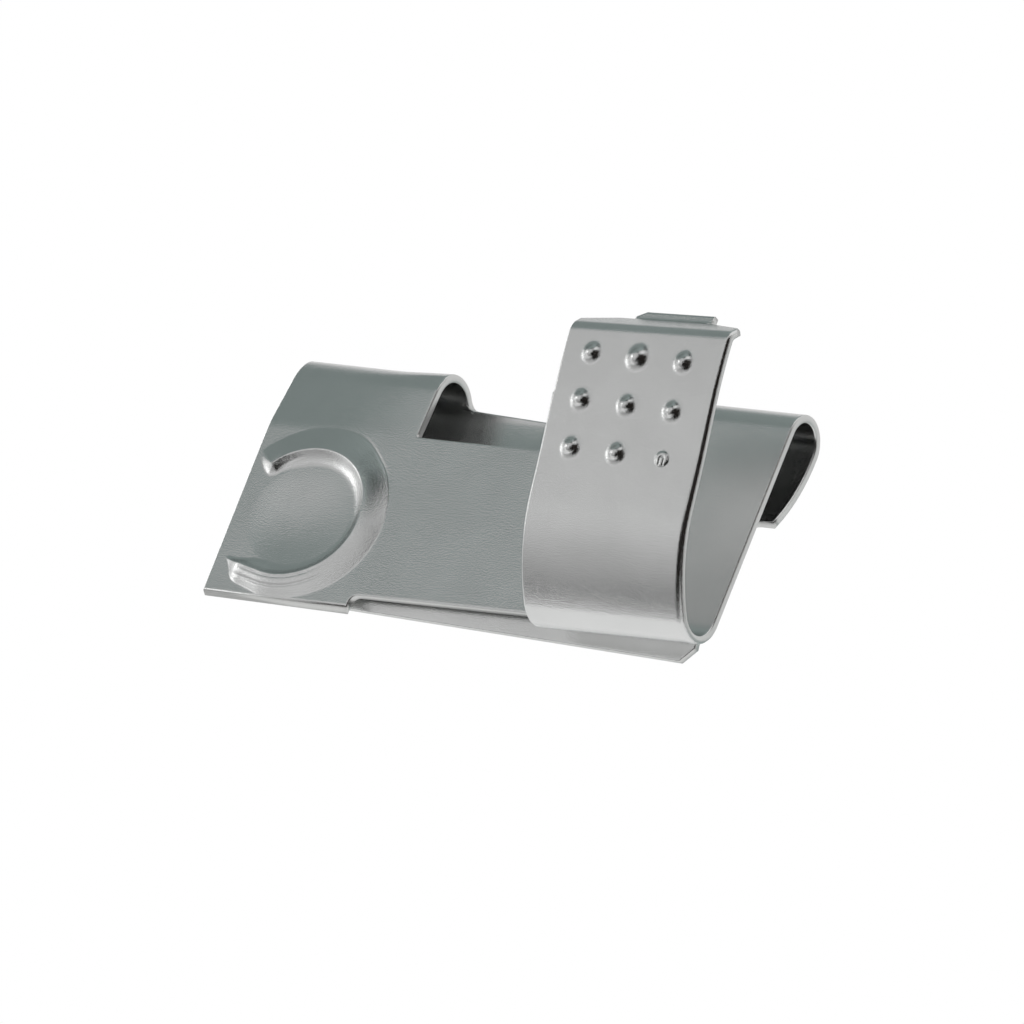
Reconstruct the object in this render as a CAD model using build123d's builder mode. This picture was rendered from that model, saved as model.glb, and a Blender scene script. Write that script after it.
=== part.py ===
"""Bridging battery contact, folded from one strip of plated spring steel.

The strip joins two cells that lie side by side. A C-shaped bead, pressed forward on the
left, meets the positive cap of one cell. A leaf with nine pips, folded up in front on the
right, pushes on the flat base of the other. Two rolls at the top and a wide tongue behind
make the clip that holds the strip on the wall of the battery box.

X runs along the strip, Y from the cells towards the wall, Z up the front plate. The origin
is on the plate's back face, midway between the two cells and level with their axes.
"""

import os
from math import atan, cos, degrees, radians, sin, tan

from build123d import *

# The sheet and the two cells
sheet = 0.30  # thickness of the strip
cell_pitch = 14.86  # from the ring's centre to the leaf's middle

# The ring that meets the positive cap
ring_radius = 2.50  # to the crest of the bead
bead_half_width = 0.62
bead_height = 0.30
bead_crest_radius = 0.30
ring_first_angle = -128.0  # where the bead starts, anticlockwise from +X
ring_last_angle = 140.0
groove_half_width = 0.40  # the round hollow that the punch leaves behind the bead
groove_depth = 0.22

# The front plate
ring_to_end = 2.72  # from the ring's centre to the plate's left end
foot_margin = 0.15  # flat sheet between the bead and the bottom edge
window_margin = 0.44  # flat sheet between the bead and the window
roll_width = 6.22  # each roll, along X
recess_margin = 0.18  # from the bead to the recess, along X
recess_height = 0.40
recess_corner = 0.30

# The rolls, the rear leg and the tongue
roll_rise = 1.84  # from the window's bottom edge to the rolls' axis
roll_radius = 0.775  # inside
flap_rise = 0.22  # from the rolls' axis to the rear flap's top edge
leg_radius = 6.65  # the slow curve of the leg towards the plate, to the sheet's middle
leg_turn = 26.0  # degrees
pinch_gap = 0.25  # free gap between the plate and the tongue
pinch_radius = 2.45  # to the sheet's middle
flare_length = 0.75  # the tongue's last stretch, turned out to lead the wall in
flare_angle = 15.0
flare_radius = 0.85  # to the sheet's middle
ear_length = 3.20  # from the rolls' axis down to the shoulders
shoulder_width = 0.86
shoulder_corner = 0.30
tongue_rise = 0.05  # from the plate's bottom edge to the tongue's, at the middle
tongue_chamfer = 0.52
flap_skew = 2.3  # degrees that the flap's top and bottom edges slope down to the right

# The leaf
leaf_width = 6.60
u_radius = 1.00  # inside of the U-bend
u_rise = 0.84  # from the plate's bottom edge to the U-bend's axis
relief_width = 0.40  # slot beside the U-bend
relief_rise = 0.15  # from the U-bend's axis to the slot's top
relief_corner = 0.12
root_lean = 50.0  # degrees from upright at the end of the U-bend
root_radius = 6.65  # to the sheet's middle, as the bow's
leaf_lean = 16.5
leaf_straight = 3.67
bow_radius = 17.15
bow_lean = 8.9
lip_radius = 0.30  # inside
lip_lean = 42.0  # degrees past upright, towards the wall
lip_length = 0.60
lip_shoulder_width = 1.50
lip_shoulder_height = 0.45

# The tab on the lip
tab_width = 3.17
tab_offset = 0.52  # from the leaf's middle
tab_radius = 0.10  # inside
tab_height = 0.17
tab_slant_width = 0.40  # the corner cut off at the tab's left end
tab_slant_height = 0.20

# The pips on the leaf
pip_pitch_x = 1.90
pip_pitch_s = 1.77  # along the leaf
pip_first = 1.69  # along the leaf's straight stretch, up to the lowest row
pip_radius = 0.42  # at the foot
pip_height = 0.20
pip_crest_radius = 0.30
big_pip = 1.25  # the middle pip of the top row, against the others
flat_pip = 0.40  # the height of the lowest row's right pip, against the others
dish = 0.75  # the round hollow behind a pip, against the pip

# Places that follow from the sizes
ring_x = -cell_pitch / 2
leaf_x = cell_pitch / 2
leaf_left = leaf_x - leaf_width / 2
plate_left = ring_x - ring_to_end
plate_right = leaf_x + leaf_width / 2
plate_middle = (plate_left + plate_right) / 2
bead_foot = ring_radius + bead_half_width
plate_bottom = -(bead_foot + foot_margin)
window_bottom = bead_foot + window_margin
window_left = plate_left + roll_width
window_right = plate_right - roll_width
roll_axis = window_bottom + roll_rise
recess_left = ring_x + bead_foot + recess_margin
recess_top = plate_bottom + recess_height
u_axis = plate_bottom + u_rise
relief_left = leaf_left - relief_width
relief_top = u_axis + relief_rise
tongue_left = plate_left + shoulder_width
tongue_right = plate_right - shoulder_width
ear_bottom = roll_axis - ear_length
flare_top = plate_bottom + flare_length
flare_end = plate_bottom - flare_length

# Where cuts start and end, clear of the solids
above = roll_axis + 4 * roll_radius
below = plate_bottom - 2 * flare_length
behind = 4 * roll_radius + leg_radius
in_front = 4 * sheet


def side_radii(half_width, height, crest_radius):
    """Turn and foot radius of a rounded side that falls by the height over the half width."""
    turn = 2 * atan(height / half_width)
    return degrees(turn), half_width / sin(turn) - crest_radius


def hollow_radius(half_width, depth):
    """Radius of a round hollow that is so deep and so wide."""
    return (half_width**2 + depth**2) / (2 * depth)


def ridge_section(plane):
    """Section of the bead at the ring's radius, its base sunk into the sheet."""
    turn, foot_radius = side_radii(bead_half_width, bead_height, bead_crest_radius)
    inner_foot = ring_radius - bead_half_width
    with BuildSketch(plane) as section:
        with BuildLine():
            rise = JernArc((inner_foot, 0), (1, 0), foot_radius, turn)
            crest = JernArc(rise @ 1, rise % 1, bead_crest_radius, -2 * turn)
            fall = JernArc(crest @ 1, crest % 1, foot_radius, turn)
            base = Line((bead_foot, -sheet / 2), (inner_foot, -sheet / 2))
            Line(fall @ 1, base @ 0)
            Line(base @ 1, rise @ 0)
        make_face()
    return section.sketch


def dome_section(plane, half_width, height, crest_radius):
    """Half section of a round boss on the plane's Y axis, its base sunk into the sheet."""
    turn, foot_radius = side_radii(half_width, height, crest_radius)
    with BuildSketch(plane) as section:
        with BuildLine():
            top = JernArc((0, height), (1, 0), crest_radius, -turn)
            foot = JernArc(top @ 1, top % 1, foot_radius, turn)
            Polyline(foot @ 1, (half_width, -sheet / 2), (0, -sheet / 2), (0, height))
        make_face()
    return section.sketch


def press_bead():
    """The C-shaped bead on the plate's front, and the groove behind it."""
    forward = Vector(0, -1, 0)
    front = Vector(ring_x, -sheet, 0)
    back = Vector(ring_x, 0, 0)
    arc = ring_last_angle - ring_first_angle
    start = Vector(cos(radians(ring_first_angle)), 0, sin(radians(ring_first_angle)))
    start_plane = Plane(front, x_dir=start, z_dir=start.cross(forward))
    revolve(ridge_section(start_plane), axis=Axis(front, forward), revolution_arc=arc)

    radius = hollow_radius(groove_half_width, groove_depth)
    behind_face = forward * (groove_depth - radius)
    with BuildSketch(Plane(back, x_dir=start, z_dir=start.cross(forward))) as groove:
        with Locations((ring_radius, groove_depth - radius)):
            Circle(radius)
    revolve(
        groove.sketch,
        axis=Axis(back, forward),
        revolution_arc=arc,
        mode=Mode.SUBTRACT,
    )

    for angle in (ring_first_angle, ring_last_angle):
        outward = Vector(cos(radians(angle)), 0, sin(radians(angle)))
        end = front + outward * ring_radius
        end_plane = Plane(end, x_dir=outward, z_dir=outward.cross(forward))
        dome = dome_section(end_plane, bead_half_width, bead_height, bead_crest_radius)
        revolve(dome, axis=Axis(end, forward))
        with Locations(back + outward * ring_radius + behind_face):
            Sphere(radius, mode=Mode.SUBTRACT)


def press_pip(x, foot, tangent, height, scale):
    """A pip on the leaf's front, and the dish behind it."""
    across = Vector(1, 0, 0)
    forward = Vector(0, -tangent.Y, tangent.X)
    middle = Vector(x, foot.X, foot.Y)
    top = middle + forward * sheet / 2
    plane = Plane(top, x_dir=across, z_dir=across.cross(forward))
    revolve(
        dome_section(plane, pip_radius * scale, height, pip_crest_radius * scale),
        axis=Axis(top, forward),
    )
    depth = height * dish
    radius = hollow_radius(pip_radius * scale * dish, depth)
    with Locations(middle + forward * (depth - radius - sheet / 2)):
        Sphere(radius, mode=Mode.SUBTRACT)


def flap_slope(x):
    """How far the rear flap's skewed edges lie above their middle at x."""
    return (plate_middle - x) * tan(radians(flap_skew))


def leaf_line():
    """The leaf's middle line: round the U-bend, up the leaf and over the lip."""
    u_bend = JernArc((-sheet / 2, u_axis), (0, -1), u_radius + sheet / 2, root_lean - 180)
    root = JernArc(u_bend @ 1, u_bend % 1, root_radius, leaf_lean - root_lean)
    straight = PolarLine(root @ 1, leaf_straight, direction=root % 1)
    bow = JernArc(straight @ 1, straight % 1, bow_radius, bow_lean - leaf_lean)
    lip = JernArc(bow @ 1, bow % 1, lip_radius + sheet / 2, -bow_lean - lip_lean)
    flange = PolarLine(lip @ 1, lip_length, direction=lip % 1)
    return straight, bow, flange


with BuildPart() as contact_strip:
    # Front plate, with the bead pressed in it before the folds close behind it
    with BuildSketch(Plane.XZ):
        with Locations((plate_left, plate_bottom)):
            Rectangle(
                plate_right - plate_left,
                roll_axis - plate_bottom,
                align=(Align.MIN, Align.MIN),
            )
    extrude(amount=sheet)
    press_bead()

    # Rolls, rear leg and tongue: one bent section along the whole strip
    with BuildSketch(Plane.YZ.offset(plate_left)):
        with BuildLine():
            roll = JernArc((-sheet / 2, roll_axis), (0, 1), roll_radius + sheet / 2, -180)
            leg = JernArc(roll @ 1, roll % 1, leg_radius, -leg_turn)
            bends_reach = (leg_radius + pinch_radius) * (1 - cos(radians(leg_turn)))
            slant_reach = 2 * roll_radius - pinch_gap - bends_reach
            slant = PolarLine(leg @ 1, slant_reach / sin(radians(leg_turn)), direction=leg % 1)
            pinch = JernArc(slant @ 1, slant % 1, pinch_radius, leg_turn)
            tongue = Line(pinch @ 1, ((pinch @ 1).X, flare_top))
            flare = JernArc(tongue @ 1, tongue % 1, flare_radius, flare_angle)
            flare_drop = (flare @ 1).Y - flare_end
            PolarLine(flare @ 1, flare_drop / cos(radians(flare_angle)), direction=flare % 1)
        trace(line_width=sheet)
    extrude(amount=plate_right - plate_left)

    # Window between the rolls: down into the front plate, and back to the rear flap
    middle_plane = Plane.XZ.offset(-roll_radius)
    with BuildSketch(middle_plane):
        with BuildLine():
            Polyline(
                (window_left, window_bottom),
                (window_right, window_bottom),
                (window_right, above),
                (window_left, above),
                close=True,
            )
        make_face()
    extrude(amount=roll_radius + in_front, mode=Mode.SUBTRACT)
    flap_top = roll_axis + flap_rise
    with BuildSketch(middle_plane):
        with BuildLine():
            Polyline(
                (window_left, flap_top + flap_slope(window_left)),
                (window_right, flap_top + flap_slope(window_right)),
                (window_right, above),
                (window_left, above),
                close=True,
            )
        make_face()
    extrude(amount=-behind, mode=Mode.SUBTRACT)

    # Bottom edge of the plate: recess, relief slot, and the place where the leaf joins
    gap_plane = Plane.XZ.offset(-pinch_gap / 2)
    with BuildSketch(gap_plane) as bottom_cut:
        with BuildLine():
            Polyline(
                (recess_left, below),
                (recess_left, recess_top),
                (relief_left, recess_top),
                (relief_left, relief_top),
                (leaf_left, relief_top),
                (leaf_left, u_axis),
                (plate_right + in_front, u_axis),
                (plate_right + in_front, below),
                close=True,
            )
        make_face()
        corners = bottom_cut.vertices()
        fillet(corners.filter_by_position(Axis.Y, recess_top, recess_top), recess_corner)
        corners = bottom_cut.vertices()
        fillet(corners.filter_by_position(Axis.Y, relief_top, relief_top), relief_corner)
    extrude(amount=pinch_gap / 2 + in_front, mode=Mode.SUBTRACT)

    # Outline of the rear flap: an ear at each end and the tongue between them
    with BuildSketch(gap_plane) as flap_cut:
        with Locations((plate_middle, (ear_bottom + below) / 2)):
            Rectangle(plate_right - plate_left + in_front, ear_bottom - below)
        with BuildLine():
            tongue_bottom = plate_bottom + tongue_rise
            left_bottom = tongue_bottom + flap_slope(tongue_left)
            right_bottom = tongue_bottom + flap_slope(tongue_right)
            Polyline(
                (tongue_left, above),
                (tongue_left, left_bottom + tongue_chamfer),
                (tongue_left + tongue_chamfer, left_bottom),
                (tongue_right - tongue_chamfer, right_bottom),
                (tongue_right, right_bottom + tongue_chamfer),
                (tongue_right, above),
                close=True,
            )
        make_face(mode=Mode.SUBTRACT)
        inner = flap_cut.vertices().filter_by_position(Axis.X, tongue_left, tongue_right)
        fillet(inner.filter_by_position(Axis.Y, ear_bottom, ear_bottom), shoulder_corner)
    extrude(amount=-behind, mode=Mode.SUBTRACT)

    # The leaf, as wide as the U-bend, with its lip
    with BuildSketch(Plane.YZ.offset(leaf_left)):
        with BuildLine():
            leaf_stretch, leaf_bow, leaf_flange = leaf_line()
        trace(line_width=sheet)
    extrude(amount=leaf_width)
    lip_end = leaf_flange @ 1
    lip_top = lip_end.Y + sheet

    # Sloped shoulders at both ends of the lip
    for side in (-1, 1):
        with BuildSketch(Plane.XZ.offset(-lip_end.X - sheet)):
            with BuildLine():
                end_x = leaf_x + side * leaf_width / 2
                Polyline(
                    (end_x, lip_top - lip_shoulder_height),
                    (end_x - side * lip_shoulder_width, lip_top),
                    (end_x + side * sheet, lip_top + sheet),
                    (end_x + side * sheet, lip_top - lip_shoulder_height),
                    close=True,
                )
            make_face()
        extrude(amount=in_front + 2 * lip_length, mode=Mode.SUBTRACT)

    # The tab, turned up again from the lip's edge
    tab_left = leaf_x + tab_offset - tab_width / 2
    with BuildSketch(Plane.YZ.offset(tab_left)):
        with BuildLine():
            Line(leaf_flange @ 0.5, lip_end)
            tab_turn = JernArc(lip_end, leaf_flange % 1, tab_radius + sheet / 2, lip_lean)
            PolarLine(tab_turn @ 1, tab_height, direction=tab_turn % 1)
        trace(line_width=sheet)
    extrude(amount=tab_width)
    tab_top = (tab_turn @ 1).Y + tab_height
    with BuildSketch(Plane.XZ.offset(-lip_end.X - sheet)):
        with BuildLine():
            Polyline(
                (tab_left, tab_top - tab_slant_height),
                (tab_left + tab_slant_width, tab_top),
                (tab_left - sheet, tab_top + sheet),
                close=True,
            )
        make_face()
    extrude(amount=in_front, mode=Mode.SUBTRACT)

    # Three rows of three pips, each with a dish behind it
    for row in range(3):
        length = pip_first + row * pip_pitch_s
        stretch = leaf_stretch
        if length > leaf_straight:
            stretch = leaf_bow
            length = length - leaf_straight
        foot = stretch.position_at(length, position_mode=PositionMode.LENGTH)
        tangent = stretch.tangent_at(length, position_mode=PositionMode.LENGTH)
        for column in range(3):
            pip_x = leaf_x + (column - 1) * pip_pitch_x
            scale = big_pip if row == 2 and column == 1 else 1.0
            height = pip_height * (flat_pip if row == 0 and column == 2 else scale)
            press_pip(pip_x, foot, tangent, height, scale)

print(contact_strip.part.bounding_box(), "valid:", contact_strip.part.is_valid)
print("volume in cubic mm:", contact_strip.part.volume)
contact_strip.part.label = "contact_strip"
os.makedirs("parts", exist_ok=True)
export_step(contact_strip.part, "parts/contact_strip.step")
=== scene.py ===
# %% [markdown]
# # A battery contact, folded from one strip
#
# The object is a bridge between two cells that lie side by side. It is stamped from thin
# spring steel, plated, and then folded. On the left a C-shaped bead meets the positive cap
# of one cell. On the right a leaf with nine pips pushes on the flat base of the other.
# Two rolls and a tongue behind make the clip that holds it on the wall of the box.
#
# It could be modelled bend by bend in its finished shape. Here it is made as a press makes
# it: a flat blank is cut, scored, pressed and folded. Every hole and every pattern is then
# drawn on the flat, where it is simple, and the sheet keeps one thickness.
#
# The CAD model is loaded first and stays as it is. It fixes the size and the place of
# everything here, and the finished strip stands for it.

# %% The frame
from itertools import accumulate
from math import asin, atan, atan2, cos, degrees, exp, hypot, radians, sin, sqrt, tan

import bmesh
import bpy
from mathutils import Matrix, Vector


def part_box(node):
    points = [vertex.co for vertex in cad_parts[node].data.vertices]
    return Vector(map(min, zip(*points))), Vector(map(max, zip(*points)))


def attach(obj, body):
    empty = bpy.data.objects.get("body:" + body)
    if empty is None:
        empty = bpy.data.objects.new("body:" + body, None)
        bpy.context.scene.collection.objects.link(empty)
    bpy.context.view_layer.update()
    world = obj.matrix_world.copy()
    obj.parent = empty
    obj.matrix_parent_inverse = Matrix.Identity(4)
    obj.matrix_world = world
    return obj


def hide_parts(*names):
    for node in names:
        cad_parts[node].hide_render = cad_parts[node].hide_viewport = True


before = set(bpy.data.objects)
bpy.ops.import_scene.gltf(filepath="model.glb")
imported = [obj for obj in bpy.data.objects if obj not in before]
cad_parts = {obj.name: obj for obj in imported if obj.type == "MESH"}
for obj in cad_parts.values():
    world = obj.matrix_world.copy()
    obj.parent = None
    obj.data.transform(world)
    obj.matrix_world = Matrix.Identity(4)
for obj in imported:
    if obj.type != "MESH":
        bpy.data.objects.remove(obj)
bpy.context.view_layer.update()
mm = 0.001
node_low, node_high = (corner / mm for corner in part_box("contact_strip"))
print("CAD box in mm:", node_low, node_high)

# %% [markdown]
# ## Driving sizes
#
# All lengths are in millimetres and all angles in degrees. The ends of the plate come from
# the frame. The bends are given to the middle of the sheet, because the middle of a sheet
# keeps its length when the sheet is folded.

# %% Sheet and plate
sheet = 0.30
cell_pitch = 14.86
plate_left = node_low.x
plate_right = node_high.x
plate_middle = (plate_left + plate_right) / 2
ring_x = -cell_pitch / 2
leaf_x = cell_pitch / 2
ring_radius = 2.50
plate_bottom = -3.27
window_bottom = 3.56
roll_width = 6.22
recess_left = -4.17
recess_top = plate_bottom + 0.40
recess_corner = 0.30
foot_skew = 0.07
print("plate:", round(plate_right - plate_left, 2), "mm long")

# %% Rolls, rear leg and tongue
roll_axis = 5.40
roll_radius = 0.775 + sheet / 2
leg_radius = 6.65
leg_turn = 26.0
pinch_gap = 0.25
pinch_radius = 2.45
flare_radius = 0.85
flare_angle = 15.0
flare_length = 0.75
flap_rise = 0.22
flap_skew = 2.85
tongue_skew = 2.3
tongue_chamfer = 0.52
ear_length = 3.20
shoulder_width = 0.86
shoulder_corner = 0.30
print("rolls:", round(2 * roll_radius + sheet, 2), "mm deep, gap at the pinch:", pinch_gap, "mm")

# %% Leaf, lip and tab
leaf_width = 6.60
leaf_left = leaf_x - leaf_width / 2
u_axis = plate_bottom + 0.84
u_radius = 1.00 + sheet / 2
relief_left = leaf_left - 0.40
relief_top = u_axis + 0.15
relief_corner = 0.12
root_lean = 50.0
root_radius = 6.65
leaf_lean = 16.5
leaf_straight = 3.67
leaf_step = 0.05
leaf_step_length = 0.10
bow_radius = 17.15
bow_lean = 8.9
lip_radius = 0.30 + sheet / 2
lip_lean = 42.0
lip_length = 0.62
lip_shoulder_width = 1.50
lip_shoulder_height = 0.30
tab_width = 3.17
tab_middle = leaf_x + 0.37
tab_left = tab_middle - tab_width / 2
tab_right = tab_middle + tab_width / 2
tab_radius = 0.10 + sheet / 2
tab_height = 0.24
tab_slant_width = 0.40
tab_slant_height = 0.20
print("leaf:", leaf_width, "mm wide, tab:", tab_width, "mm wide")

# %% [markdown]
# ## The two section lines
#
# Seen from the side, the strip is a chain of straight runs and round bends. It could be a
# curve object, but a curve doesn't tell how long each stretch of sheet is, and the blank
# needs that. So each run is written as a length and a turn. A point that lies so far along
# the chain is found by walking it, and the same walk tells which way the sheet faces there.

# %% Runs and bends
def bend(radius, turn):
    """A round run as its length along the middle of the sheet and its turn."""
    return radius * radians(abs(turn)), turn


def walk(runs, start, heading, distance):
    """Place and heading after so much of a chain of runs; heading 0 is up, 90 is back."""
    y, z = start
    angle = radians(heading)
    for length, turn in runs:
        step = min(distance, length)
        if turn:
            radius = length / radians(turn)
            turned = angle + step / radius
            y += radius * (cos(angle) - cos(turned))
            z += radius * (sin(turned) - sin(angle))
            angle = turned
        else:
            y += step * sin(angle)
            z += step * cos(angle)
        distance -= step
        if distance <= 0:
            break
    return y, z, angle


def ends_of(runs):
    """How far along the chain each run ends."""
    return list(accumulate(length for length, turn in runs))


# %% The clip, from the cells' axes up the plate and down behind it
reach_of_bends = (leg_radius + pinch_radius) * (1 - cos(radians(leg_turn)))
slant_reach = 2 * roll_radius - sheet - pinch_gap - reach_of_bends
leg_drop = (leg_radius + pinch_radius) * sin(radians(leg_turn))
slant_drop = slant_reach / tan(radians(leg_turn))
flare_top = plate_bottom + flare_length
tongue_length = roll_axis - leg_drop - slant_drop - flare_top
clip_runs = [
    (roll_axis, 0),
    bend(roll_radius, 180),
    bend(leg_radius, leg_turn),
    (slant_reach / sin(radians(leg_turn)), 0),
    bend(pinch_radius, -leg_turn),
    (tongue_length, 0),
    bend(flare_radius, -flare_angle),
    (2 * flare_length, 0),
]
clip_ends = ends_of(clip_runs)
plate_end, roll_end, leg_end, slant_end, pinch_end, tongue_end, flare_end, _ = clip_ends
print("clip runs end at", [round(end, 2) for end in clip_ends])

# %% The leaf, from the axis of its U-bend down, round and up
leaf_runs = [
    bend(u_radius, 180 - root_lean),
    bend(root_radius, root_lean - leaf_lean),
    (leaf_straight, 0),
    bend(bow_radius, leaf_lean - bow_lean),
    bend(lip_radius, bow_lean + lip_lean),
    (lip_length, 0),
    bend(tab_radius, -lip_lean),
    (tab_height, 0),
]
BOW = 3
leaf_ends = [u_axis - end for end in ends_of(leaf_runs)]
u_end, root_end, straight_end, bow_end, bend_end, lip_end, tab_turn_end, tab_end = leaf_ends
print("leaf runs end at", [round(end, 2) for end in leaf_ends])

# %% [markdown]
# ## The blank
#
# A press tool first cuts the flat blank. Its outline is drawn here as if the strip were
# unrolled: across is the length of the strip, up is the way along the fold. Each round
# could be listed as a row of points. Instead only the corners are listed, worked out from
# the sizes above, and a vertex bevel rounds the ones that the tool rounds.

# %% Outline of the blank
def tongue_edge(x):
    """Where the tongue's lowest edge is on the blank. It slopes down to the right."""
    height = plate_bottom + (plate_middle - x) * tan(radians(tongue_skew))
    flare_foot = flare_top - flare_radius * sin(radians(flare_angle))
    return flare_end + (flare_foot - height) / cos(radians(flare_angle))


ear_drop = ear_length - leg_radius * sin(radians(leg_turn))
ear_end = leg_end + ear_drop / cos(radians(leg_turn))
tongue_left = plate_left + shoulder_width
tongue_right = plate_right - shoulder_width
step_low = straight_end + leaf_step_length
left_narrow = leaf_left + leaf_step
plate_corners = [
    (plate_left, plate_bottom),
    (recess_left, plate_bottom - foot_skew),
    (recess_left, recess_top),
    (relief_left, recess_top),
    (relief_left, relief_top),
]
leaf_corners = [
    (leaf_left, relief_top),
    (leaf_left, step_low),
    (left_narrow, step_low - leaf_step_length),
    (left_narrow, lip_end + lip_shoulder_height),
    (leaf_left + lip_shoulder_width, lip_end),
    (tab_left, lip_end),
    (tab_left, tab_end + tab_slant_height),
    (tab_left + tab_slant_width, tab_end),
    (tab_right, tab_end),
    (tab_right, lip_end),
    (plate_right - lip_shoulder_width, lip_end),
    (plate_right, lip_end + lip_shoulder_height),
]
rear_corners = [
    (plate_right, ear_end),
    (tongue_right, ear_end),
    (tongue_right, tongue_edge(tongue_right) - tongue_chamfer),
    (tongue_right - tongue_chamfer, tongue_edge(tongue_right)),
    (tongue_left + tongue_chamfer, tongue_edge(tongue_left)),
    (tongue_left, tongue_edge(tongue_left) - tongue_chamfer),
    (tongue_left, ear_end),
    (plate_left, ear_end),
]
rounded_corners = {
    (recess_left, recess_top): recess_corner,
    (relief_left, recess_top): recess_corner,
    (relief_left, relief_top): relief_corner,
    (leaf_left, relief_top): relief_corner,
    (tongue_right, ear_end): shoulder_corner,
    (tongue_left, ear_end): shoulder_corner,
}
outline = plate_corners + leaf_corners + rear_corners
print("blank outline:", len(outline), "corners")

# %% Cut the outline
def round_corner(bm, place, radius, segments):
    """Rounds the corner of the flat blank that is nearest to a place."""
    corner = min(bm.verts, key=lambda v: hypot(v.co.x - place[0], v.co.y - place[1]))
    return bmesh.ops.bevel(
        bm,
        geom=[corner],
        offset=radius,
        offset_type="OFFSET",
        segments=segments,
        profile=0.5,
        material=-1,
        affect="VERTICES",
    )


bm = bmesh.new()
corners = [bm.verts.new((x, s, -sheet / 2)) for x, s in outline]
bm.faces.new(corners)
for place, radius in rounded_corners.items():
    round_corner(bm, place, radius, segments=6)
print("blank after rounding:", len(bm.verts), "corners")

# %% [markdown]
# The window between the rolls is punched out next. A Boolean could do it, but cuts that
# are straight lines on a flat face leave cleaner corners. Two lines are cut across the
# blank and then two more across the strip between them, so that the cuts stay local, and
# the piece in the middle is deleted. The fillet in the window's corner leaves slivers,
# and dissolving them gives one clean face again.

# %% Helpers that cut and pick
ACROSS = Vector((1, 0, 0))
ALONG = Vector((0, 1, 0))
FAR = 99.0
cut_tolerance = 1e-4
hair = 0.001


def everything(faces):
    """The faces with their edges and corners, as the bisect operator wants them."""
    edges = {edge for face in faces for edge in face.edges}
    corners = {vert for face in faces for vert in face.verts}
    return list(corners) + list(edges) + list(faces)


def faces_in(bm, low, high, side=0):
    """The faces whose middle lies in a rectangle of the blank, of one side or of both."""
    found = []
    for face in bm.faces:
        middle = face.calc_center_median()
        inside = low[0] < middle.x < high[0] and low[1] < middle.y < high[1]
        if inside and (side == 0 or middle.z * side > sheet / 2 - hair):
            found.append(face)
    return found


def cut(bm, faces, point, normal):
    """Cuts the faces along one straight line and gives back the pieces."""
    result = bmesh.ops.bisect_plane(
        bm, geom=everything(faces), plane_co=point, plane_no=normal, dist=cut_tolerance
    )
    return [item for item in result["geom"] if isinstance(item, bmesh.types.BMFace)]


def score(bm, faces, places, direction):
    """Cuts straight lines across the faces: the middle line first, and then each half."""
    if not places:
        return
    middle = len(places) // 2
    before, after = [], []
    for piece in cut(bm, faces, direction * places[middle], direction):
        beyond = piece.calc_center_median().dot(direction) > places[middle]
        (after if beyond else before).append(piece)
    score(bm, before, places[:middle], direction)
    score(bm, after, places[middle + 1 :], direction)


# %% Punch the window
window_corner = 0.30
side_cut_low = 0.11
side_cut_high = 0.08
window_left_low = plate_left + roll_width - side_cut_low
window_left_high = plate_left + roll_width + side_cut_high
window_right = plate_right - roll_width
flap_edge = roll_end - roll_radius * asin(flap_rise / roll_radius)
flap_point = Vector((plate_middle, flap_edge, 0))
flap_normal = Vector((-tan(radians(flap_skew)), 1, 0)).normalized()
side_point = Vector((window_left_low, window_bottom, 0))
side_normal = Vector((flap_edge - window_bottom, window_left_low - window_left_high, 0))
score(bm, list(bm.faces), [window_bottom], ALONG)
cut(bm, faces_in(bm, (-FAR, window_bottom), (FAR, FAR)), flap_point, flap_normal)
cut(bm, faces_in(bm, (-FAR, window_bottom), (FAR, flap_edge)), side_point, side_normal)
right_of_side = (window_left_low, window_bottom), (FAR, flap_edge)
score(bm, faces_in(bm, *right_of_side), [window_right], ACROSS)
punched = faces_in(bm, (window_left_low, window_bottom), (window_right, flap_edge))
bmesh.ops.delete(bm, geom=punched, context="FACES")
fillet = round_corner(bm, (window_left_high, flap_edge), window_corner, segments=4)
bmesh.ops.dissolve_faces(bm, faces=fillet["faces"])
print("window punched, faces left:", len(bm.faces))

# %% [markdown]
# The blank gets its thickness, and its edges are softened: shearing leaves a small round
# on both faces. Modifiers could do both at the end, but the sheet has to be thick before
# it is pressed. A narrow inset beside the round keeps the faces' shading flat up to it.

# %% Thickness and sheared edges
edge_round = 0.05
edge_margin = 0.05
flat_side = 0.99
sheared_side = 0.9
PLATED, SHEARED = 0, 1


def is_rim(edge):
    """True where a flat side of the blank meets its cut edge."""
    slopes = [abs(face.normal.z) for face in edge.link_faces]
    return len(slopes) == 2 and abs(slopes[0] - slopes[1]) > sheared_side


raised = bmesh.ops.extrude_face_region(bm, geom=list(bm.faces))
lifted = [item for item in raised["geom"] if isinstance(item, bmesh.types.BMVert)]
bmesh.ops.translate(bm, verts=lifted, vec=(0, 0, sheet))
bmesh.ops.recalc_face_normals(bm, faces=bm.faces)
bm.normal_update()
bmesh.ops.bevel(
    bm,
    geom=[edge for edge in bm.edges if is_rim(edge)],
    offset=edge_round,
    offset_type="OFFSET",
    segments=2,
    profile=0.5,
    material=-1,
    affect="EDGES",
)
bm.normal_update()
for side in (-1, 1):
    flat = [face for face in bm.faces if face.normal.z * side > flat_side]
    bmesh.ops.inset_region(bm, faces=flat, thickness=edge_margin, use_even_offset=True)
bm.normal_update()
for face in bm.faces:
    face.material_index = SHEARED if abs(face.normal.z) < sheared_side else PLATED
print("sheared edges rounded:", len(bm.faces), "faces")

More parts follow.
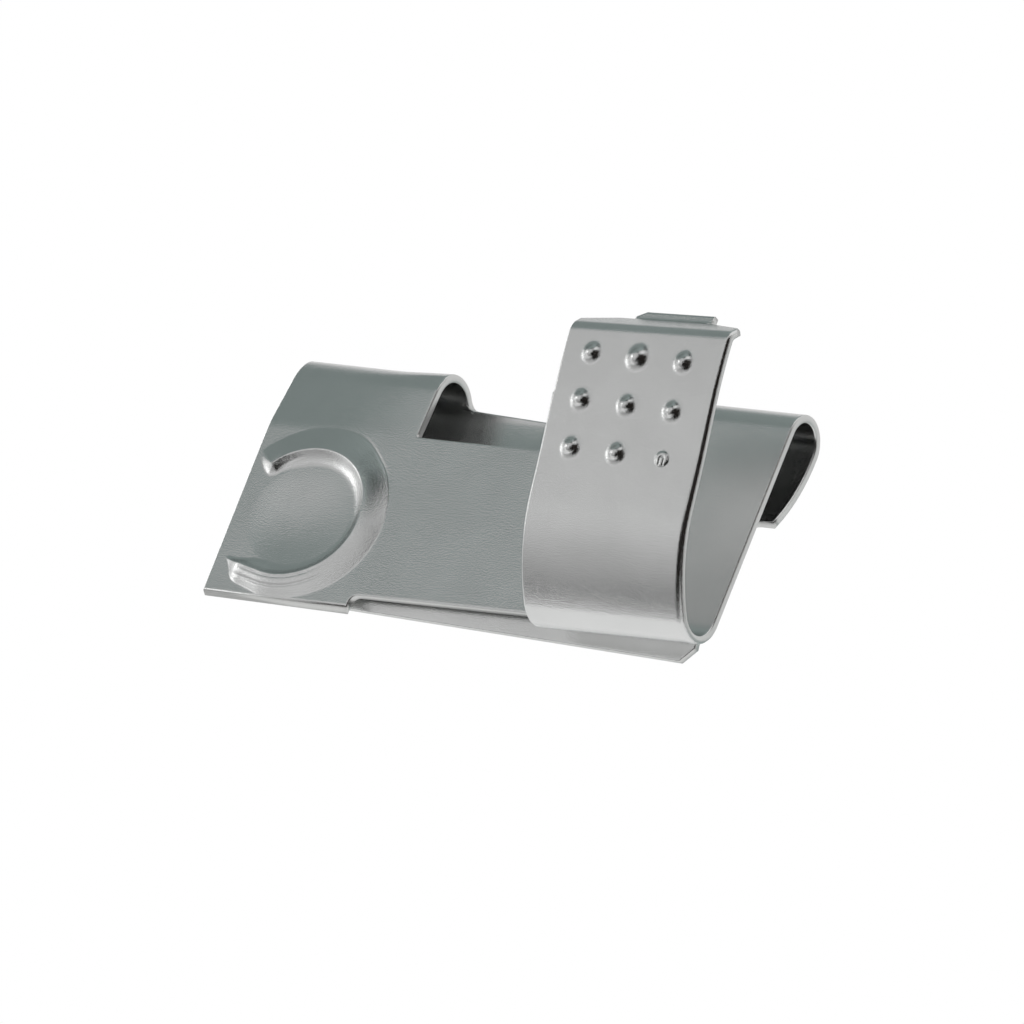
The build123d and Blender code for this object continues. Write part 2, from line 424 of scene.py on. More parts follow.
# %% [markdown]
# ## Score lines
#
# A flat face cannot bend, so it is cut into narrow strips wherever the sheet will curve.
# Subdividing the whole blank would be simpler, but far too heavy. The bends get a line for
# every few degrees, the bead and the pips get a fine grid in front and one half as fine
# behind, and the flat parts stay coarse. That keeps the mesh light where nothing happens.

# %% Lines across the bends
def spread(first, last, spacing):
    """Evenly spaced places from first to last, both included."""
    count = max(1, round(abs(last - first) / spacing))
    return [first + (last - first) * step / count for step in range(count + 1)]


bead_low = (plate_left, plate_bottom)
bead_high = (-3.70, 3.75)
first_plate_line = 0.5
line_below_bead_top = 3.7
line_above_bead_top = 3.9
round_stretches = [
    (plate_end, roll_end, 0.09),
    (roll_end, leg_end, 0.30),
    (slant_end, pinch_end, 0.14),
    (tongue_end, flare_end, 0.06),
    (u_axis, u_end, 0.08),
    (u_end, root_end, 0.22),
    (straight_end, bow_end, 0.30),
    (bow_end, bend_end, 0.04),
    (lip_end, tab_turn_end, 0.03),
]
flat_stretches = [
    (first_plate_line, line_below_bead_top, 0.8),
    (line_above_bead_top, plate_end, 0.25),
    (leg_end, slant_end, 0.43),
    (pinch_end, tongue_end, 0.8),
    (root_end, straight_end, 0.40),
]
lines = set()
for first, last, spacing in round_stretches + flat_stretches:
    lines.update(round(place, 4) for place in spread(first, last, spacing))
axis_line = round(u_axis, 4)
clip_lines = sorted(line for line in lines if line >= axis_line)
leaf_lines = sorted(line for line in lines if line < axis_line)
leaf_region = (relief_left, -FAR), (FAR, u_axis)
score(bm, list(bm.faces), clip_lines, ALONG)
score(bm, faces_in(bm, *leaf_region), leaf_lines, ALONG)
print("after the bends' lines:", len(bm.faces), "faces")

# %% Places of the pips
pip_pitch_x = 1.90
pip_pitch_s = 1.73
pip_first = root_end - 1.66
pip_middle = leaf_x - 0.16
pip_skew = 0.022
margin_side = 0.62
margin_above = 0.66
margin_below = 0.60
pip_side = pip_pitch_x + margin_side
pips_low = (pip_middle - pip_side, pip_first - 2 * pip_pitch_s - margin_above)
pips_high = (pip_middle + pip_side, pip_first + margin_below)
worn_side = 0.32
worn_above = 0.28
worn_below = 0.36
worn_x = pip_middle + pip_pitch_x
worn_low = (worn_x - worn_side, pip_first - worn_above)
worn_high = (worn_x + worn_side, pip_first + worn_below)
print("pips lie between", pips_low, "and", pips_high)

# %% Fine grids for the bead and the pips
PLATE_FRONT, LEAF_FRONT = 1, -1
bead_grid = 0.036
pip_grid = 0.042
worn_pip_grid = 0.021


def grid_over(bm, low, high, side, spacing):
    """Cuts one side of the sheet into small squares inside a rectangle."""
    rows = spread(low[1], high[1], spacing)[1:-1]
    score(bm, faces_in(bm, low, high, side), rows, ALONG)
    columns = spread(low[0], high[0], spacing)[1:-1]
    score(bm, faces_in(bm, low, high, side), columns, ACROSS)


score(bm, list(bm.faces), [bead_high[0], pips_low[0], pips_high[0]], ACROSS)
row_at_bead_top = (-FAR, 3.5), (bead_high[0], line_above_bead_top)
score(bm, faces_in(bm, *row_at_bead_top), [bead_high[1]], ALONG)
score(bm, faces_in(bm, *leaf_region), [pips_low[1], pips_high[1]], ALONG)
grid_over(bm, bead_low, bead_high, PLATE_FRONT, bead_grid)
grid_over(bm, bead_low, bead_high, -PLATE_FRONT, 2 * bead_grid)
grid_over(bm, pips_low, pips_high, LEAF_FRONT, pip_grid)
grid_over(bm, pips_low, pips_high, -LEAF_FRONT, 2 * pip_grid)
grid_over(bm, worn_low, worn_high, LEAF_FRONT, worn_pip_grid)
print("after the fine grids:", len(bm.faces), "faces")

# %% Lines for the rolled-over edge of the leaf
roll_over_low = 0.25
roll_over_high = 0.12
edge_turns = (0, 12, 24, 36, 46)
edge_line_margin = 0.03
past_pips = 0.10
edge_lines = [plate_right - roll_over_low - edge_line_margin]
edge_lines += [plate_right - roll_over_low * (1 - sin(radians(turn))) for turn in edge_turns]
beside_pips = (pips_high[0] + past_pips, -FAR), (FAR, u_axis)
score(bm, faces_in(bm, *beside_pips, LEAF_FRONT), edge_lines, ACROSS)
print("after the edge's lines:", len(bm.faces), "faces")

# %% Coarse lines along the strip
rear_grid = 0.6
lip_grid = 0.5
root_grid = 0.8
rolls_and_rear = faces_in(bm, (-FAR, bead_high[1]), (FAR, FAR))
score(bm, rolls_and_rear, spread(plate_left, plate_right, rear_grid)[1:-1], ACROSS)
leaf_top = faces_in(bm, (relief_left, -FAR), (FAR, pips_low[1]))
score(bm, leaf_top, spread(leaf_left, plate_right, lip_grid)[1:-1], ACROSS)
leaf_root = faces_in(bm, (relief_left, pips_high[1]), (FAR, u_axis))
score(bm, leaf_root, spread(leaf_left, plate_right, root_grid)[1:-1], ACROSS)
print("scored blank:", len(bm.faces), "faces")

# %% [markdown]
# ## Pressing the bead and the pips
#
# A punch pushes the sheet forward and leaves a hollow behind. Sculpting could give such
# shapes, but a formula keeps their sizes. The two faces get profiles of their own: the
# front follows the die, the back follows the punch. The bead isn't the same all the way
# round. Its crest drifts off the circle, its low end runs out to a point, creases mark it
# where the sheet was squeezed, and the disc inside it is dished back.

# %% Profiles
def clamped(value):
    """The value, kept between 0 and 1."""
    return min(max(value, 0.0), 1.0)


def fall(share):
    """1 at the start, 0 at the end and level at both."""
    share = clamped(share)
    return 1 - share * share * (3 - 2 * share)


def near(value, place, reach):
    """1 at a place, falling to 0 at its reach to both sides."""
    return fall(abs(value - place) / reach)


def grown(start, share):
    """From a starting share, at 0, up to the whole, at 1."""
    return start + (1 - start) * share


def between(knots, value):
    """A value read from a few knots, with a soft step from each to the next."""
    for (left, low), (right, high) in zip(knots, knots[1:]):
        if value <= right:
            return high + (low - high) * fall((value - left) / (right - left))
    return knots[-1][1]


def hollow(distance, half_width, depth):
    """Depth of a round hollow at a distance from its middle."""
    radius = (half_width**2 + depth**2) / (2 * depth)
    if distance >= half_width:
        return 0.0
    return sqrt(radius**2 - distance**2) - (radius - depth)


def dome(distance, half_width, height, crest):
    """Height of a round boss: a ball on top and a smaller round at its foot."""
    if distance >= half_width:
        return 0.0
    turn = 2 * atan(height / half_width)
    foot = half_width / sin(turn) - crest
    if distance < crest * sin(turn):
        return height - crest + sqrt(crest**2 - distance**2)
    return foot - sqrt(foot**2 - (half_width - distance) ** 2)


# %% Crest of the C-shaped bead round the ring
bead_height = 0.30
first_angle = -141.0
last_angle = 135.0
full_from = -123.0
crest_shift = 0.03
low_drift_from = -105.0
low_drift_rate = 0.0012
low_drift_power = 1.66
right_drift = 0.05
right_drift_angle = -25.0
right_drift_reach = 45.0


def crest_radius(angle):
    """The crest drifts off its circle, most of all towards its low end."""
    low_drift = low_drift_rate * max(0.0, low_drift_from - angle) ** low_drift_power
    drift = right_drift * near(angle, right_drift_angle, right_drift_reach)
    return ring_radius + crest_shift + low_drift + drift


def fullness(angle):
    """0 at the pointed low end of the bead and 1 where it stands at full height."""
    return 1 - fall((angle - first_angle) / (full_from - first_angle))


def from_crest(x, s):
    """Nearest angle on the bead, and the way from its crest: outwards and past its end."""
    angle = degrees(atan2(s, x - ring_x))
    nearest = min(max(angle, first_angle), last_angle)
    crest = crest_radius(nearest)
    if nearest == angle:
        return nearest, hypot(x - ring_x, s) - crest, 0.0
    out_x, out_s = cos(radians(nearest)), sin(radians(nearest))
    way_x, way_s = x - ring_x - crest * out_x, s - crest * out_s
    return nearest, way_x * out_x + way_s * out_s, abs(way_s * out_x - way_x * out_s)


print("crest radius at the ends:", crest_radius(first_angle), crest_radius(last_angle))

# %% Creases on the bead
crease_depth = 0.026
crease_width = 0.042
low_creases = (0.11, 0.40)
low_creases_from = -127.0
low_creases_to = -65.0
fade_in, fade_out = 12.0, 25.0
high_crease = -0.17
high_crease_angle = 119.0
high_crease_reach = 16.0
foot_groove = 0.022
foot_groove_angle = 48.0
foot_groove_reach = 26.0
foot_groove_margin = 0.01


def crease(distance, place):
    """1 in a narrow crease and 0 away from it."""
    return exp(-(((distance - place) / crease_width) ** 2))


def creases(angle, outwards, width):
    """Depth of all creases: two on the low side, one at the high end, one at the foot."""
    low_side = fall((angle - low_creases_to) / fade_out)
    low_side *= 1 - fall((angle - low_creases_from) / fade_in)
    low = low_side * sum(crease(outwards, place) for place in low_creases)
    high = near(angle, high_crease_angle, high_crease_reach) * crease(outwards, high_crease)
    foot = near(angle, foot_groove_angle, foot_groove_reach)
    foot *= crease(outwards, width + foot_groove_margin)
    return crease_depth * (low + high) + foot_groove * foot


# %% Front and back of the bead
bead_end_width = 0.38
low_end_width = 0.5
inner_power = 1.9
inner_widths = [(-141, 0.25), (-114, 0.56), (105, 0.56), (135, 0.36)]
outer_widths = [
    (-141, 0.16), (-118, 0.66), (-90, 0.80), (-45, 0.88), (45, 0.87), (70, 1.02), (140, 0.95)
]
outer_powers = [
    (-141, 1.3), (-60, 1.3), (0, 1.4), (45, 1.5), (80, 1.15), (118, 1.1), (137, 0.5)
]
skirt_height = 0.035
skirt_width = 1.2
skirt_reach = 50.0
groove_half_width = 0.40
groove_depth = 0.22
groove_end_width = 0.4
groove_end_depth = 0.2


def bead_front(x, s):
    """Height of the bead on the front face, with its creases and its soft skirt."""
    angle, outwards, past_end = from_crest(x, s)
    full = fullness(angle)
    width = between(outer_widths if outwards > 0 else inner_widths, angle)
    width *= grown(low_end_width, full)
    share = hypot(outwards / width, past_end / bead_end_width)
    outer_part = 0.5 + 0.5 * outwards / max(hypot(outwards, past_end), 1e-6)
    outer = max(0.0, 1 - share ** between(outer_powers, angle))
    inner = max(0.0, 1 - share) ** inner_power
    lift = bead_height * full * (outer * outer_part + inner * (1 - outer_part))
    skirt = skirt_height * near(angle, 0, skirt_reach)
    skirt *= fall(outwards / skirt_width) if outwards > 0 else inner
    return lift - creases(angle, outwards, width) + skirt


def bead_back(x, s):
    """Depth of the groove behind the bead. It narrows and runs out at the low end."""
    angle, outwards, past_end = from_crest(x, s)
    half_width = groove_half_width * grown(groove_end_width, fullness(angle))
    depth = groove_depth * grown(groove_end_depth, fullness(angle))
    return hollow(hypot(outwards, past_end), half_width, depth)


print("bead", round(bead_front(ring_x + ring_radius, 0), 3), "mm high at its right")

# %% Disc inside the bead
bowl_radius = 2.05
bowl_depth = 0.085
bowl_power = 1.3
bowl_tilt = 0.6


def bowl(x, s):
    """How far the disc inside the bead is dished back, deeper in its lower half."""
    share = min(hypot(x - ring_x, s) / bowl_radius, 1)
    return bowl_depth * (1 - share**2) ** bowl_power * (1 - bowl_tilt * s / bowl_radius)


print("disc dished back by", round(bowl(ring_x, 0), 3), "mm in its middle")

# %% The nine pips
pip_radius = 0.50
pip_height = 0.22
pip_crest = 0.29
big_pip = 1.20
dish = 0.65
flat_top = 0.055
flat_radius = 0.33
flat_core = 0.55
arch_radius = 0.085
arch_leg = 0.2
arch_depth = 0.030
arch_width = 0.030


def worn_pip(x, s):
    """The pip that was pressed flat: a low button with an arch-shaped crease."""
    away = hypot(x, s)
    if away > flat_radius:
        return 0.0
    button = flat_top * fall((away / flat_radius - flat_core) / (1 - flat_core))
    arch = abs(away - arch_radius) if s < 0 else abs(abs(x) - arch_radius)
    if s > arch_leg:
        arch = hypot(arch, s - arch_leg)
    return button - arch_depth * exp(-((arch / arch_width) ** 2))


def pip_front_and_back(x, s):
    """Height of the nearest pip in front and depth of its dish behind."""
    column = min(max(round((x - pip_middle) / pip_pitch_x), -1), 1)
    row = min(max(round((pip_first - s) / pip_pitch_s), 0), 2)
    from_x = x - pip_middle - column * pip_pitch_x
    from_s = s - pip_first + row * pip_pitch_s - pip_skew * column * pip_pitch_x
    if row == 0 and column == 1:
        return worn_pip(from_x, from_s), 0.0
    scale = big_pip if row == 2 and column == 0 else 1.0
    away = hypot(from_x, from_s)
    front = dome(away, pip_radius * scale, pip_height * scale, pip_crest * scale)
    return front, hollow(away, pip_radius * scale * dish, pip_height * scale * dish)


print("a pip is", round(pip_front_and_back(pip_middle, pip_first)[0], 3), "mm high")

# %% The leaf's right edge
def rolled_over(x, s):
    """How far the shears drew the leaf's right edge in, by the place along the leaf."""
    share = clamped((s - lip_end) / (u_end - lip_end))
    width = roll_over_high + (roll_over_low - roll_over_high) * share
    if s > u_end:
        width *= fall((s - u_end) / (u_axis - u_end))
    along = min((x - plate_right) / max(width, 0.01) + 1, 1)
    return width * (1 - sqrt(1 - along**2)) if along > 0 else 0.0


print("edge drawn in by", round(rolled_over(plate_right, root_end), 3), "mm at the leaf's root")

# %% Press the sheet
def pressed(x, s, t):
    """Where a point of the blank lies in the thickness after pressing."""
    front_share = t / sheet + 0.5
    if x < bead_high[0] and s < bead_high[1]:
        lift = bead_front(x, s) * front_share + bead_back(x, s) * (1 - front_share)
        return t + lift - bowl(x, s)
    if pips_low[0] < x < pips_high[0] and pips_low[1] < s < pips_high[1]:
        boss, hole = pip_front_and_back(x, s)
        return t - boss * (1 - front_share) - hole * front_share
    if x > plate_right - roll_over_low and s < u_axis:
        return t + rolled_over(x, s) * (1 - front_share)
    return t


for vert in bm.verts:
    vert.co.z = pressed(*vert.co)
print("bead and pips pressed:", len(bm.verts), "points")

# %% [markdown]
# ## Folding
#
# Every point of the blank now moves to its place in the fold: the walk gives the middle
# line, and the point keeps its own distance from it. A bend modifier for each fold would
# also do it, but not with the right length in every bend. Real folds are never quite
# true, so the left roll leans back at its outer end and swells beside the window, the
# leaf drifts sideways, its lip runs a little askew, and the foot keeps a burr.

# %% The left roll's lean
lean_start = 3.3
lean_height = 2.8
lean_slope = 0.19
lean_bend = 0.5
lean_reach = 6.2
lean_lift = 0.20


def leaning(x, y, z):
    """How far the left roll leans back at its outer end, and how far that lifts it."""
    if x > plate_left + lean_reach or z < lean_start:
        return 0.0, 0.0
    rise = min(z - lean_start, lean_height)
    outer_end = fall((x - plate_left) / lean_reach)
    behind = clamped((y + sheet) / (2 * roll_radius + sheet))
    bent = rise**2 / (2 * lean_bend) if rise < lean_bend else rise - lean_bend / 2
    lift = lean_lift * outer_end * (rise / lean_height) ** 2
    return lean_slope * bent * (1 - behind) * outer_end, lift


print("roll leans back by", round(leaning(plate_left, -sheet, roll_axis)[0], 3), "mm at its end")

# %% The left roll's swelling
swell = 0.13
swell_reach = 2.6
swell_back = 1.6
back_from, back_over = 3.0, 1.5
up_from, up_over = 5.0, 1.2


def swelling(x, y, z):
    """How far the left roll swells beside the window, back and up."""
    beside = near(x, window_left_high, swell_reach)
    if z < back_from or beside == 0 or y < -sheet / 2 + 0.01:
        return 0.0, 0.0
    behind = clamped((y + sheet / 2) / (2 * roll_radius))
    back = swell * swell_back * beside * behind * clamped((z - back_from) / back_over)
    return back, swell * beside * (1 - fall((z - up_from) / up_over))


swollen = swelling(window_left_high, 2 * roll_radius, roll_axis)[0]
print("roll swells by", round(swollen, 3), "mm beside the window")

# %% The three parts of the fold
leaf_drift = 0.075
drift_from, drift_over = -1.5, 3.5
drift_front = -2.5
lip_skew = 0.23
burr = 0.13
burr_reach = 0.4


def leaf_place(x, s, t):
    """Where a point of the leaf ends up. The bow is longer on the right than on the left."""
    extra = lip_skew * (x - leaf_x) / leaf_width
    distance = u_axis - s
    bow_start = u_axis - straight_end
    bow_length = straight_end - bow_end
    distance += extra * clamped((distance - bow_start) / bow_length)
    runs = list(leaf_runs)
    runs[BOW] = (bow_length + extra, leaf_lean - bow_lean)
    y, z, angle = walk(runs, (-sheet / 2, u_axis), 180, distance)
    drift = leaf_drift * (1 - fall((z - drift_from) / drift_over)) if y < drift_front else 0.0
    return x + drift, y + t * cos(angle), z - t * sin(angle)


def foot_place(x, s, t):
    """Where a point below the cells' axes ends up, with the burr along the left foot."""
    z = s
    if s < plate_bottom + burr_reach and x < recess_left + 0.01:
        low = 1 - (s - plate_bottom) / burr_reach
        z -= burr * low**3 * (0.5 - t / sheet)
    return x, -sheet / 2 - t, z


def clip_place(x, s, t):
    """Where a point of the upper plate, a roll or the tongue ends up."""
    y, z, angle = walk(clip_runs, (-sheet / 2, 0), 0, s)
    y -= t * cos(angle)
    z += t * sin(angle)
    back, up = swelling(x, y, z)
    lean, lift = leaning(x, y, z)
    return x, y + lean + back, z + up + lift


print("tab ends at", [round(way, 2) for way in leaf_place(tab_middle, tab_end, 0)])

# %% Fold the blank
def folded(x, s, t):
    """Where a point of the blank ends up, in millimetres of the frame."""
    if s < u_axis and x > relief_left + 0.05:
        return leaf_place(x, s, t)
    return foot_place(x, s, t) if s < 0 else clip_place(x, s, t)


blank_map = bm.loops.layers.uv.new("grain")
for face in bm.faces:
    face.smooth = True
    for loop in face.loops:
        loop[blank_map].uv = (loop.vert.co.x * mm, loop.vert.co.y * mm)
for vert in bm.verts:
    vert.co = Vector(folded(*vert.co)) * mm
bmesh.ops.recalc_face_normals(bm, faces=bm.faces)
open_edges = sum(not edge.is_manifold for edge in bm.edges)
print("folded strip:", len(bm.faces), "faces,", open_edges, "open edges")

# %% The strip as an object
strip_mesh = bpy.data.meshes.new("folded_strip")
bm.to_mesh(strip_mesh)
bm.free()
strip = bpy.data.objects.new("folded_strip", strip_mesh)
bpy.context.scene.collection.objects.link(strip)
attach(strip, "root")
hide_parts("contact_strip")
triangles = sum(len(face.vertices) - 2 for face in strip_mesh.polygons)
print("triangles:", triangles)

# %% [markdown]
# ## Plated steel
#
# Nickel plating over rolled strip is a grey metal with a soft gloss. Rolling leaves fine
# lines, and the plating leaves a sandy grain that breaks reflections up and makes some
# clouds a little paler. Photographs of metal could give these patterns, but noise needs no
# files and has no seams. The patterns live in one shader group, so that each finish can
# use them with its own strength. The lines are drawn on the blank's own map, and so they
# run round the bends. The grain and the clouds have no direction and fill the space.

# %% Grain group
line_scale = 9000
line_stretch = (1.0, 0.12, 1.0)
grain_scale = 21000
cloud_scale = 420
bump_depth = 0.00001


def new_node(tree, kind, values=None):
    """A node of one kind, with the values given for its sockets."""
    node = tree.nodes.new(kind)
    for socket, value in (values or {}).items():
        node.inputs[socket].default_value = value
    return node


def grain_group():
    """Node group: fine rolling lines and plating grain, as masks and a normal."""
    group = bpy.data.node_groups.new("rolled_grain", "ShaderNodeTree")
    for name in ("Line strength", "Grain strength"):
        group.interface.new_socket(name, in_out="INPUT", socket_type="NodeSocketFloat")
    for name, kind in (("Lines", "Float"), ("Clouds", "Float"), ("Normal", "Vector")):
        group.interface.new_socket(name, in_out="OUTPUT", socket_type="NodeSocket" + kind)
    link = group.links.new
    given = new_node(group, "NodeGroupInput")
    result = new_node(group, "NodeGroupOutput")

    flat = new_node(group, "ShaderNodeUVMap")
    flat.uv_map = "grain"
    stretch = new_node(group, "ShaderNodeMapping", {"Scale": line_stretch})
    lines = new_node(group, "ShaderNodeTexNoise", {"Scale": line_scale, "Detail": 3})
    link(flat.outputs["UV"], stretch.inputs["Vector"])
    link(stretch.outputs["Vector"], lines.inputs["Vector"])

    place = new_node(group, "ShaderNodeTexCoord")
    grains = new_node(group, "ShaderNodeTexNoise", {"Scale": grain_scale, "Detail": 4})
    clouds = new_node(group, "ShaderNodeTexNoise", {"Scale": cloud_scale, "Detail": 3})
    link(place.outputs["Object"], grains.inputs["Vector"])
    link(place.outputs["Object"], clouds.inputs["Vector"])

    bumps = new_node(group, "ShaderNodeBump", {"Distance": bump_depth})
    ridges = new_node(group, "ShaderNodeBump", {"Distance": bump_depth})
    link(given.outputs["Grain strength"], bumps.inputs["Strength"])
    link(grains.outputs["Fac"], bumps.inputs["Height"])
    link(given.outputs["Line strength"], ridges.inputs["Strength"])
    link(lines.outputs["Fac"], ridges.inputs["Height"])
    link(bumps.outputs["Normal"], ridges.inputs["Normal"])
    link(lines.outputs["Fac"], result.inputs["Lines"])
    link(clouds.outputs["Fac"], result.inputs["Clouds"])
    link(ridges.outputs["Normal"], result.inputs["Normal"])
    return group


rolled_grain = grain_group()
print("grain group:", len(rolled_grain.nodes), "nodes")


# %% Finishes
def metal(name, dark, light, smooth, rough, line_strength, grain_strength):
    """A metal that varies between two colours and two roughnesses."""
    material = bpy.data.materials.new(name)
    material.use_nodes = True
    tree = material.node_tree
    shader = tree.nodes["Principled BSDF"]
    shader.inputs["Metallic"].default_value = 1.0
    pattern = new_node(tree, "ShaderNodeGroup")
    pattern.node_tree = rolled_grain
    pattern.inputs["Line strength"].default_value = line_strength
    pattern.inputs["Grain strength"].default_value = grain_strength
    colour = new_node(tree, "ShaderNodeMix")
    colour.data_type = "RGBA"
    colour.inputs["A"].default_value = (*dark, 1)
    colour.inputs["B"].default_value = (*light, 1)
    gloss = new_node(tree, "ShaderNodeMapRange", {"To Min": smooth, "To Max": rough})
    tree.links.new(pattern.outputs["Clouds"], colour.inputs["Factor"])
    tree.links.new(pattern.outputs["Lines"], gloss.inputs["Value"])
    tree.links.new(colour.outputs["Result"], shader.inputs["Base Color"])
    tree.links.new(gloss.outputs["Result"], shader.inputs["Roughness"])
    tree.links.new(pattern.outputs["Normal"], shader.inputs["Normal"])
    return material


nickel = metal(
    "nickel_plating",
    dark=(0.58, 0.585, 0.58),
    light=(0.69, 0.695, 0.69),
    smooth=0.14,
    rough=0.22,
    line_strength=0.15,
    grain_strength=0.95,
)
cut_steel = metal(
    "sheared_edge",
    dark=(0.50, 0.51, 0.50),
    light=(0.62, 0.62, 0.61),
    smooth=0.3,
    rough=0.45,
    line_strength=0.4,
    grain_strength=0.6,
)
strip_mesh.materials.append(nickel)
strip_mesh.materials.append(cut_steel)
print("finishes:", [material.name for material in strip_mesh.materials])

# %% [markdown]
# ## Camera
#
# The photograph looks at the strip from the front right and from below, turned on its
# side by some twenty degrees, and from so far away that parallel edges stay parallel. A
# long lens would come close to that, but an orthographic camera is exact. Its three
# directions follow from three angles.

# %% Camera
image_side = 1024
camera_azimuth = 35.59
camera_elevation = -22.95
camera_roll = 21.71
pixels_per_mm = 28.714
origin_pixel = (483.2, 539.1)
camera_distance = 20.0

azimuth = radians(camera_azimuth)
elevation = radians(camera_elevation)
roll = radians(camera_roll)
to_camera = Vector(
    (sin(azimuth) * cos(elevation), -cos(azimuth) * cos(elevation), sin(elevation))
)
level = Vector((cos(azimuth), sin(azimuth), 0))
upright = to_camera.cross(level)
right = level * cos(roll) + upright * sin(roll)
up = to_camera.cross(right)
shift_right = (image_side / 2 - origin_pixel[0]) / pixels_per_mm
shift_up = (origin_pixel[1] - image_side / 2) / pixels_per_mm
target = right * shift_right + up * shift_up

camera_data = bpy.data.cameras.new("camera")
camera_data.type = "ORTHO"
camera_data.ortho_scale = image_side / pixels_per_mm * mm
camera_data.clip_start = 0.1 * mm
camera_data.clip_end = 1.0
camera = bpy.data.objects.new("camera", camera_data)
turn = Matrix((right, up, to_camera)).transposed().to_4x4()
camera.matrix_world = Matrix.Translation((target + to_camera * camera_distance) * mm) @ turn
bpy.context.scene.collection.objects.link(camera)
bpy.context.scene.camera = camera
print("camera right, up, back:", right, up, to_camera)

# %% [markdown]
# ## Studio
#
# Metal shows what is round it, so most of its look is made here. A picture of a real
# studio could be wrapped round the strip, but glowing cards can be placed one by one. The
# strip hangs in a white tent over a pale floor. A grey-green ceiling gives the plate its
# quiet tone, and a paler wall in front lights the leaf. Low down, a white sheet with a
# dark band along its front edge and a grey apron before it draw the leaf's root. Black
# cards to the right draw the dark side of each pip and the line down the leaf's edge, and
# a small one above draws the dark patch on the bead. The cards are seen in the metal
# only: the camera and the floor don't see them.

# %% World
light_on_matt = 0.8
world = bpy.data.worlds.new("white_tent")
bpy.context.scene.world = world
world.use_nodes = True
tree = world.node_tree
sky = tree.nodes["Background"]
sky.inputs["Color"].default_value = (1, 1, 1, 1)
rays = new_node(tree, "ShaderNodeLightPath")
seen = new_node(tree, "ShaderNodeMath")
seen.operation = "MAXIMUM"
tree.links.new(rays.outputs["Is Camera Ray"], seen.inputs[0])
tree.links.new(rays.outputs["Is Glossy Ray"], seen.inputs[1])
clear = new_node(tree, "ShaderNodeMath")
clear.operation = "MAXIMUM"
tree.links.new(seen.outputs[0], clear.inputs[0])
tree.links.new(rays.outputs["Is Transmission Ray"], clear.inputs[1])
strength = new_node(tree, "ShaderNodeMapRange", {"To Min": light_on_matt, "To Max": 1.0})
tree.links.new(clear.outputs[0], strength.inputs["Value"])
tree.links.new(strength.outputs["Result"], sky.inputs["Strength"])
bpy.context.scene.view_settings.view_transform = "Standard"
print("world:", world.name)


# %% Floor
def rectangle(name, low, high, height):
    """A level rectangle between two corners, given in millimetres."""
    plane = bmesh.new()
    bmesh.ops.create_grid(plane, x_segments=1, y_segments=1, size=0.5)
    bmesh.ops.scale(plane, vec=(high[0] - low[0], high[1] - low[1], 1), verts=plane.verts)
    middle = Vector(((low[0] + high[0]) / 2, (low[1] + high[1]) / 2, height))
    bmesh.ops.translate(plane, vec=middle, verts=plane.verts)
    bmesh.ops.scale(plane, vec=(mm, mm, mm), verts=plane.verts)
    mesh = bpy.data.meshes.new(name)
    plane.to_mesh(mesh)
    plane.free()
    thing = bpy.data.objects.new(name, mesh)
    bpy.context.scene.collection.objects.link(thing)
    return thing


floor_height = -40.0
floor_reach = 800
floor = rectangle("floor", (-floor_reach, -floor_reach), (floor_reach, floor_reach), floor_height)
paint = bpy.data.materials.new("floor_paint")
paint.use_nodes = True
paint_shader = paint.node_tree.nodes["Principled BSDF"]
paint_shader.inputs["Base Color"].default_value = (0.9, 0.9, 0.9, 1)
paint_shader.inputs["Roughness"].default_value = 0.8
floor.data.materials.append(paint)
print("floor at", floor_height, "mm")


# %% Kinds of card
def light_up(card, colour, strength):
    """Makes a card glow evenly and shows it in reflections only."""
    card.visible_camera = False
    card.visible_diffuse = False
    card.visible_shadow = False
    material = bpy.data.materials.new(card.name)
    material.use_nodes = True
    tree = material.node_tree
    tree.nodes.remove(tree.nodes["Principled BSDF"])
    values = {"Color": (*colour, 1), "Strength": strength}
    glow = new_node(tree, "ShaderNodeEmission", values)
    tree.links.new(glow.outputs[0], tree.nodes["Material Output"].inputs["Surface"])
    card.data.materials.append(material)
    return glow, tree


def level_card(name, low, high, height, colour, front, back):
    """A level card whose glow goes evenly from its front edge to its back edge."""
    card = rectangle(name, low, high, height)
    glow, tree = light_up(card, colour, front)
    place = new_node(tree, "ShaderNodeTexCoord")
    parts = new_node(tree, "ShaderNodeSeparateXYZ")
    ends = {"From Min": low[1] * mm, "From Max": high[1] * mm, "To Min": front, "To Max": back}
    ramp = new_node(tree, "ShaderNodeMapRange", ends)
    tree.links.new(place.outputs["Object"], parts.inputs[0])
    tree.links.new(parts.outputs["Y"], ramp.inputs["Value"])
    tree.links.new(ramp.outputs["Result"], glow.inputs["Strength"])


def screen(name, direction, distance, width, height, colour, strength, spin=0):
    """An upright or tilted card that faces the strip from one direction."""
    card = rectangle(name, (-width / 2, -height / 2), (width / 2, height / 2), 0)
    direction = Vector(direction).normalized()
    card.location = direction * distance * mm
    card.rotation_euler = direction.to_track_quat("Z", "Y").to_euler()
    card.rotation_euler.rotate_axis("Z", radians(spin))
    light_up(card, colour, strength)


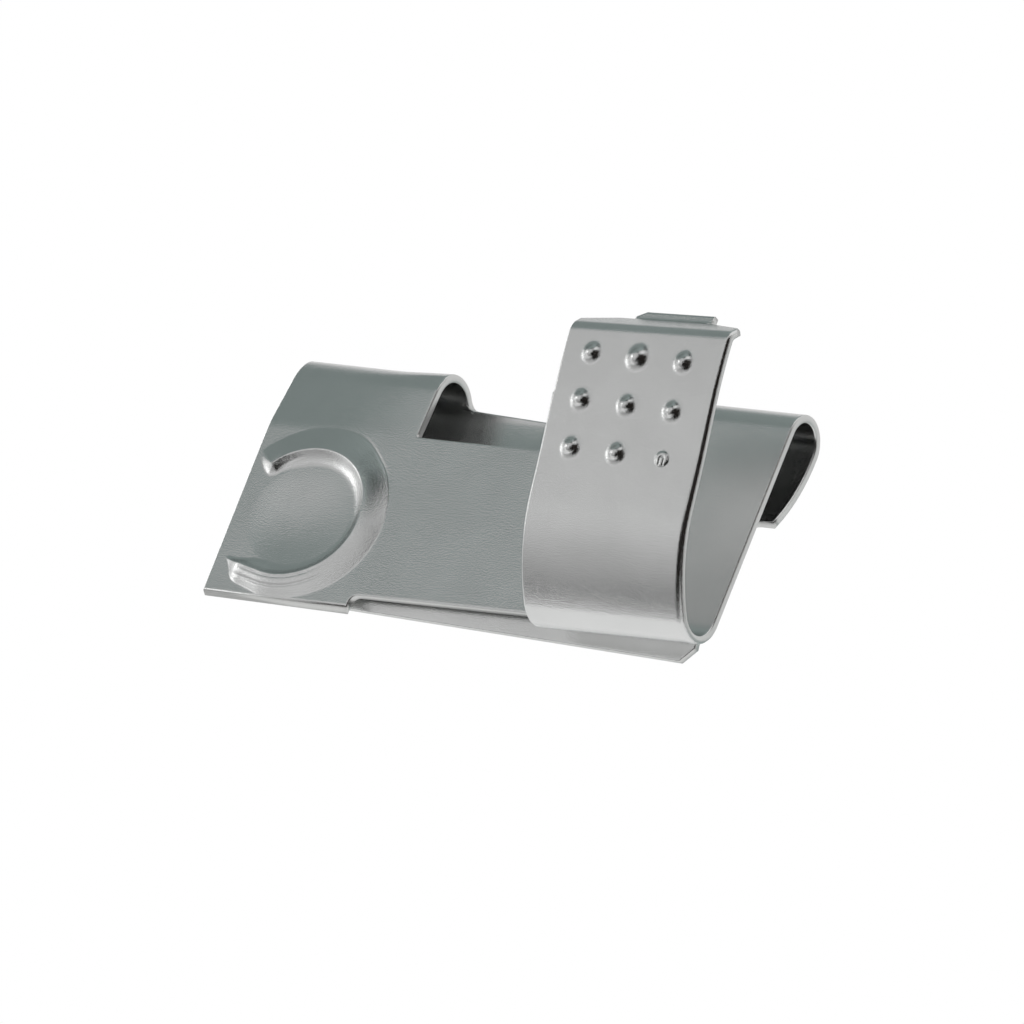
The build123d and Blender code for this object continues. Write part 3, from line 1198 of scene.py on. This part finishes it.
# %% Level cards above and below
white = (1.0, 1.0, 1.0)
grey_green = (0.86, 1.0, 0.98)
warm_black = (1.0, 0.85, 0.75)
top = 140
seam, rear = -72, 27
level_card("ceiling", (-450, -450), (seam, rear), top, grey_green, 0.34, 0.29)
level_card("right_ceiling", (seam, -450), (20, rear), top, grey_green, 0.38, 0.38)
level_card("rear_ceiling", (-450, rear), (20, 130), top, white, 0.70, 0.90)
low = floor_height + 1.5
black_low = low + 0.5
sheet_front, band_front, apron_front = -15.2, -21.0, -75
level_card("white_sheet", (-120, sheet_front), (90, 110), low, white, 1.0, 1.0)
level_card("dark_edge", (-60, band_front), (-8, sheet_front), low, white, 0.16, 0.04)
level_card("apron", (-90, apron_front), (2, band_front), low, white, 0.68, 0.42)
level_card("front_apron", (-260, -200), (2, apron_front), low, white, 0.80, 0.72)
level_card("dark_corner", (-11, -26), (2, -14.0), black_low, white, 0.05, 0.03)
level_card("black_sheet", (2, -170), (120, -14.5), black_low, warm_black, 0.02, 0.01)
print("level cards between", low, "and", top, "mm")

# %% Screens round the strip
screen("pale_wall", (-0.30, -0.95, -0.02), 300, 640, 248, white, 0.64)
screen("pale_wing", (0.16, -0.90, 0.40), 280, 250, 120, white, 0.60)
screen("right_screen", (0.95, -0.31, -0.05), 120, 188, 190, warm_black, 0.02)
screen("front_right_screen", (0.62, -0.78, -0.10), 150, 110, 150, warm_black, 0.02)
screen("top_patch", (-0.04, -0.73, 0.68), 120, 54, 34, white, 0.0, spin=38)
screen("back_wall", (0.20, 0.97, -0.05), 300, 560, 200, grey_green, 0.45)

# %% [markdown]
# Cards alone leave the metal dull. Three soft lamps add the bright glints on the bead's
# slopes, on the rolls and on the pips. There could be more of them, but each lamp puts a
# glint of its own on every pip, so they stay few, and the one in front is very weak.


# %% Lamps
def lamp(name, direction, distance, size, power):
    """A soft square lamp that points at the strip."""
    light = bpy.data.lights.new(name, "AREA")
    light.size = size * mm
    light.energy = power
    thing = bpy.data.objects.new(name, light)
    direction = Vector(direction).normalized()
    thing.location = direction * distance * mm
    thing.rotation_euler = direction.to_track_quat("Z", "Y").to_euler()
    thing.visible_camera = False
    bpy.context.scene.collection.objects.link(thing)


lamp("left_lamp", (-0.83, 0.42, 0.37), 250, 90, 0.06)
lamp("low_left_lamp", (-0.87, -0.47, -0.13), 250, 100, 0.055)
lamp("front_lamp", (-0.27, -0.90, 0.34), 250, 40, 0.003)
print("lamps:", len(bpy.data.lights))
